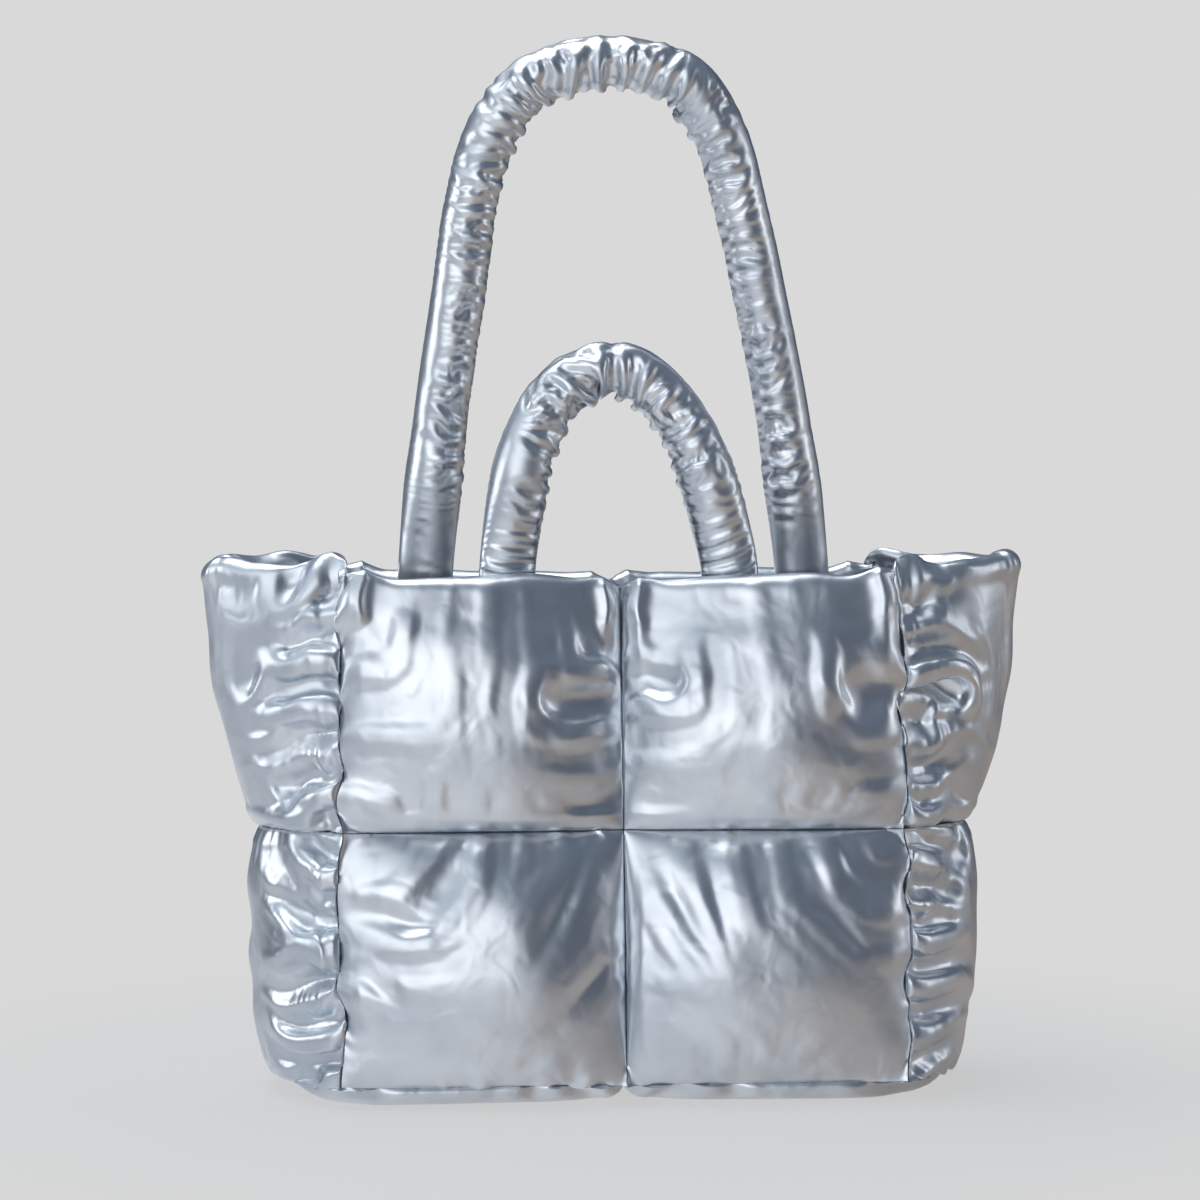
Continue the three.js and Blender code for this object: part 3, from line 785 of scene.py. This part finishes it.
# The two handles are tubes of the same cloth stuffed round, each with a cross seam at its top.
# The cloth pleats on the inside of the loop and where it bends over. The flat ends are sewn
# inside the rim: the long handle's on the back panel, the short handle's on the front.
tube_thickness = 35 * mm
foot_thickness = 39 * mm
tab_depth = 30 * mm
tab_width = 36 * mm
tab_thickness = 8 * mm
tab_clearance = 0.6 * mm
foot_depth = 19 * mm
foot_taper = 70 * mm
handle_lean = 8 * mm
tight_radius = 75 * mm
handle_lump, handle_lump_pitch = 0.03, 35 * mm
pleat_pitch = 12 * mm
pleat_depth = 3 * mm
pleat_slant, pleat_warp, warp_pitch = 1.3, 1.5, 17 * mm
patch_mean, patch_swing, patch_pitch = 0.5, 1.1, 20 * mm
strip_place, strip_width = 0.25, 0.55
leg_least, leg_strip = 0.06, 0.8
bend_deepest, bend_fade = 1.3, 0.3
pleats_start, pleats_full = 15 * mm, 60 * mm
joint_depth = 1.6 * mm
joint_width = 2.2 * mm
tube_slack, ring_slack = -0.012, -0.008
leg_gather, bend_gather = 0.02, 0.14
gather_patch, gather_patch_pitch = 0.8, 24 * mm
foot_gather, foot_smooth, foot_loose = 0.2, 20 * mm, 90 * mm
route_samples = 1601
route_steps = 40
bend_window = 161
long_span, long_height, long_shift, long_rows = 247 * mm, 327 * mm, 3 * mm, 288
short_span, short_height, short_shift, short_rows = 142 * mm, 127 * mm, 0, 144
foot_height = rim_height + rim_peak
long_route = (
    # across as a share of half the span, up as a share of the loop's height
    (-1, 0), (-0.95, 0.2), (-0.89, 0.38), (-0.82, 0.56), (-0.75, 0.74), (-0.65, 0.86),
    (-0.49, 0.945), (-0.31, 0.978), (-0.04, 1), (0.25, 0.98), (0.41, 0.945), (0.55, 0.86),
    (0.65, 0.74), (0.76, 0.56), (0.86, 0.38), (0.94, 0.2), (1, 0),
)
short_route = (
    (-1, 0), (-0.95, 0.25), (-0.86, 0.52), (-0.75, 0.7), (-0.56, 0.87), (-0.3, 0.975),
    (-0.06, 1), (0.16, 0.975), (0.41, 0.86), (0.63, 0.69), (0.8, 0.46), (0.92, 0.22), (1, 0),
)


def smooth_route(points, samples):
    """Even points along a smooth curve through the given ones."""
    points = np.array(points, float)
    ends = np.concatenate([2 * points[:1] - points[1:2], points, 2 * points[-1:] - points[-2:-1]])
    run = []
    for a, b, c, d in zip(ends[:-3], ends[1:-2], ends[2:-1], ends[3:]):
        t = np.linspace(0, 1, route_steps, endpoint=False)[:, None]
        run.append(0.5 * (2 * b + (c - a) * t + (2 * a - 5 * b + 4 * c - d) * t ** 2
                          + (3 * b - a - 3 * c + d) * t ** 3))
    run = np.concatenate(run + [points[-1:]])
    length = np.concatenate([[0], np.cumsum(np.sqrt((np.diff(run, axis=0) ** 2).sum(1)))])
    even = np.linspace(0, length[-1], samples)
    return np.stack([np.interp(even, length, run[:, k]) for k in range(2)]), length[-1]


def tab_depth_at(side, x, z):
    """Depth of the middle of a handle's flat end, against the inner face of its panel."""
    across = np.clip(x / half_width, -1, 1)
    rim = panel_point(side, across, 2 + 0 * x)[2]
    half = (rim - 2 * band_height + base_seam_height) / 2
    slope = band_height - base_seam_height - half
    over = z - base_seam_height
    level = np.minimum(2 * over / (slope + np.sqrt(slope ** 2 + 4 * half * over)), 2)
    wall = np.abs(panel_point(side, across, level)[1])
    return side * (wall - lining_depth - tab_clearance - tab_thickness / 2)


def handle(name, side, route, span, height, shift, rows):
    """A stuffed tube along its route, flat at both ends, settled and closed."""
    points = [(shift + across * span / 2, foot_height + up * height) for across, up in route]
    sink = foot_height - tab_depth
    points = [(points[0][0], sink)] + points + [(points[-1][0], sink)]
    (line_x, line_z), total = smooth_route(points, route_samples)
    angle = np.unwrap(np.arctan2(np.gradient(line_z), np.gradient(line_x)))
    turn = np.abs(np.gradient(angle)) / (total / (route_samples - 1))
    window = np.hanning(bend_window) / np.hanning(bend_window).sum()
    bend = np.clip(np.convolve(turn, window, "same") * tight_radius, 0, 1)
    shares = np.linspace(0, 1, route_samples)
    seed = int(dice.integers(1 << 30))

    def form(u, v):
        x, z = np.interp(v, shares, line_x), np.interp(v, shares, line_z)
        heading = np.interp(v, shares, angle)
        bent = np.interp(v, shares, bend)
        over = z - foot_height
        round_share = eased(over, 0, foot_taper)
        slim = eased(over, tube_thickness, tube_thickness * 3)
        thick = foot_thickness + (tube_thickness - foot_thickness) * slim
        lumps = 1 + handle_lump * hills(seed, u % 1, v, 4, total / handle_lump_pitch) * round_share
        half_across = (tab_width + (thick - tab_width) * round_share) / 2 * lumps
        half_deep = (foot_depth + (thick - foot_depth) * round_share) / 2 * lumps
        ring = 2 * np.pi * u
        side_x, side_z = np.sin(heading), -np.cos(heading)
        reach = np.stack([side_x * np.cos(ring) * half_across, np.sin(ring) * half_deep,
                          side_z * np.cos(ring) * half_across])
        seat_x = x + reach[0] * (1 - round_share)
        seat_z = np.minimum(z + reach[2] * (1 - round_share), foot_height)
        lean = handle_lean * np.clip(over / height, 0, 1)
        forward = (foot_depth - tab_thickness) / 2 * (1 - round_share)
        bed = np.stack([x, tab_depth_at(side, seat_x, seat_z) - side * (lean + forward), z])
        joint = np.exp(-((v - 0.5) * total / joint_width) ** 2)
        radius = length = np.sqrt((reach ** 2).sum(0))
        inner = (1 + np.cos(ring)) / 2
        loose = 1 + gather_patch * hills(seed + 1, u % 1, v, 3, total / gather_patch_pitch)
        gathered = tube_slack + (leg_gather * inner + bend_gather * inner * bent) * loose
        loosest = tube_slack + foot_gather * eased(over, foot_smooth, foot_loose)
        slack_v = np.minimum(gathered, loosest)
        warp = hills(seed + 2, u % 1, v, 5, total / warp_pitch)
        zigzag = pleat_slant * np.abs((3 * u) % 1 - 0.5) + pleat_warp * warp
        fold = np.abs(2 * ((v * total / pleat_pitch + zigzag) % 1) - 1)
        patchy = patch_mean + patch_swing * hills(seed + 3, u % 1, v, 4, total / patch_pitch)
        patchy = np.clip(patchy, 0, 1)
        strip = np.exp(-((np.abs(np.cos(ring) - strip_place) / strip_width) ** 2))
        leg = leg_least + leg_strip * strip
        deep = pleat_depth * (leg * (1 - bent) + (bend_deepest - bend_fade * (1 - inner)) * bent)
        deep = deep * eased(over, pleats_start, pleats_full)
        radius = radius - joint_depth * joint - deep * patchy * (1 - fold)
        return bed, reach / length, radius, ring_slack + 0 * u, slack_v

    cloth = settle(form, rows, columns=36, rounds=(140, 90), around=True,
                   fill=0.1, stiffness=0.2, shake=0.4 * mm)
    rings, around = cloth.shape[1:]
    middles = cloth[:, (0, -1)].mean(2)
    points = np.concatenate([cloth.reshape(3, -1), middles], axis=1).T
    index = np.arange(rings * around).reshape(rings, around)
    faces = grid_faces(np.concatenate([index, index[:, :1]], axis=1))
    for number, tip, step in ((0, rings * around, 1), (rings - 1, rings * around + 1, -1)):
        edge = list(index[number]) + [index[number, 0]]
        faces += [(int(a), int(b), tip)[::-step] for a, b in zip(edge[:-1], edge[1:])]
    return soft_piece(name, points, faces, [name], shell)


handle("long_handle", 1, long_route, long_span, long_height, long_shift, long_rows)
handle("short_handle", -1, short_route, short_span, short_height, short_shift, short_rows)

# The bag stands on a plain pale floor, a sheet of matt board that takes a faint shadow. It
# fades out a little away from the bag, into the same pale grey that the camera sees all round.
floor_reach = 2.4
floor_cover = 0.25
fade_start, fade_end = 0.25, 0.7
floor_roughness = 0.9
floor_grey = (0.78, 0.78, 0.78, 1)
pale_grey = (0.694, 0.694, 0.694, 1)
floor_mesh = bpy.data.meshes.new("floor")
floor_mesh.from_pydata(
    [(-floor_reach, -floor_reach, 0), (floor_reach, -floor_reach, 0),
     (floor_reach, floor_reach, 0), (-floor_reach, floor_reach, 0)], [], [(0, 1, 2, 3)])
floor = bpy.data.objects.new("floor", floor_mesh)
bpy.context.scene.collection.objects.link(floor)
pale = bpy.data.materials.new("pale_floor")
pale.use_nodes = True
tree = pale.node_tree
shader = tree.nodes["Principled BSDF"]
place = Shade(tree).node("ShaderNodeTexCoord", output="Object")
away = Shade(tree).node("ShaderNodeVectorMath", {"operation": "LENGTH"}, {0: place}, output=1)
cover = floor_cover * (1 - away.clipped(fade_start, fade_end))
tree.links.new(cover.socket, shader.inputs["Alpha"])
shader.inputs["Base Color"].default_value = floor_grey
shader.inputs["Roughness"].default_value = floor_roughness
floor_mesh.materials.append(pale)

# Soft studio light. The cloth mirrors a glow at the front left, slate walls that are darker to
# the right and behind, a blue-grey ceiling, and a pale ground that is warm at the right. Three
# softboxes, at the left, at the right and overhead, add gleams of their own.
slate_left, slate_right = (0.17, 0.21, 0.26, 1), (0.055, 0.072, 0.105, 1)
wall_behind, wall_far_right = (0.07, 0.09, 0.125, 1), (0.33, 0.34, 0.37, 1)
ceiling_left, ceiling_right = (0.38, 0.45, 0.53, 1), (0.09, 0.12, 0.17, 1)
ground_left, ground_middle = (0.50, 0.52, 0.56, 1), (0.72, 0.73, 0.76, 1)
ground_right = (0.34, 0.29, 0.255, 1)
front_glow = (1.55, 1.58, 1.62, 1)
room_tilt = 0.35
# Each pair is where one tone starts and ends its change into the next.
slate_turn, far_right_turn = (-0.6, -0.05), (0.75, 0.95)
rear_turn, rear_side_turn = (0.15, 0.4), (-0.6, -0.3)
ceiling_turn, ceiling_rise = (-0.3, 0.5), (0.3, 0.7)
ground_turn, warm_turn, horizon_rise = (-0.7, -0.35), (-0.1, 0.45), (-0.25, 0.05)
glow_start, glow_end, glow_depth = (-0.8, -0.45), (-0.14, 0.3), (-0.4, 0.1)
glow_foot, glow_top = (-0.12, 0.1), (0.35, 0.8)
lamp_target = Vector((0, 0, 0.2))
bpy.context.scene.view_settings.view_transform = "Standard"
world = bpy.data.worlds.new("studio")
bpy.context.scene.world = world
world.use_nodes = True
tree = world.node_tree
# A direction has three shares from -1 to 1: aside to the right, depth to the back, and rise.
toward = Shade(tree).node("ShaderNodeTexCoord", output="Generated")
aside = Shade(tree).node("ShaderNodeSeparateXYZ", inputs={0: toward}, output=0)
depth = Shade(tree).node("ShaderNodeSeparateXYZ", inputs={0: toward}, output=1)
rise = Shade(tree).node("ShaderNodeSeparateXYZ", inputs={0: toward}, output=2)
leaning = aside + room_tilt * rise
slate = leaning.clipped(*slate_turn).mixed(slate_left, slate_right)
rear = depth.clipped(*rear_turn) * (1 - aside.clipped(*rear_side_turn))
behind = rear.mixed(slate, wall_behind)
walls = aside.clipped(*far_right_turn).mixed(behind, wall_far_right)
overhead = leaning.clipped(*ceiling_turn).mixed(ceiling_left, ceiling_right)
ceiling = rise.clipped(*ceiling_rise).mixed(walls, overhead)
near_floor = aside.clipped(*ground_turn).mixed(ground_left, ground_middle)
warmth = aside.clipped(*warm_turn).mixed(near_floor, ground_right)
room = rise.clipped(*horizon_rise).mixed(warmth, ceiling)
across_glow = leaning.clipped(*glow_start) * (1 - leaning.clipped(*glow_end))
up_glow = rise.clipped(*glow_foot) * (1 - rise.clipped(*glow_top))
glow = across_glow * up_glow * (1 - depth.clipped(*glow_depth))
lit = glow.mixed(room, front_glow)
seen = Shade(tree).node("ShaderNodeLightPath", output="Is Camera Ray").mixed(lit, pale_grey)
tree.links.new(seen.socket, tree.nodes["Background"].inputs["Color"])


def softbox(name, place, width, height, glow):
    """A lamp aimed at the bag, whose face looks as bright as glow."""
    lamp = bpy.data.lights.new(name, "AREA")
    lamp.shape = "RECTANGLE"
    lamp.size, lamp.size_y = width, height
    lamp.energy = glow * math.pi * width * height
    light = bpy.data.objects.new(name, lamp)
    bpy.context.scene.collection.objects.link(light)
    light.location = place
    light.rotation_euler = (lamp_target - light.location).to_track_quat("-Z", "Y").to_euler()


softbox("side_box", (-2.2, 0.0, 0.8), width=1.0, height=1.0, glow=2.0)
softbox("side_strip", (2.0, -0.3, 0.9), width=0.3, height=1.2, glow=2.2)
softbox("top_box", (-0.4, 0.3, 2.3), width=1.8, height=1.6, glow=2.6)
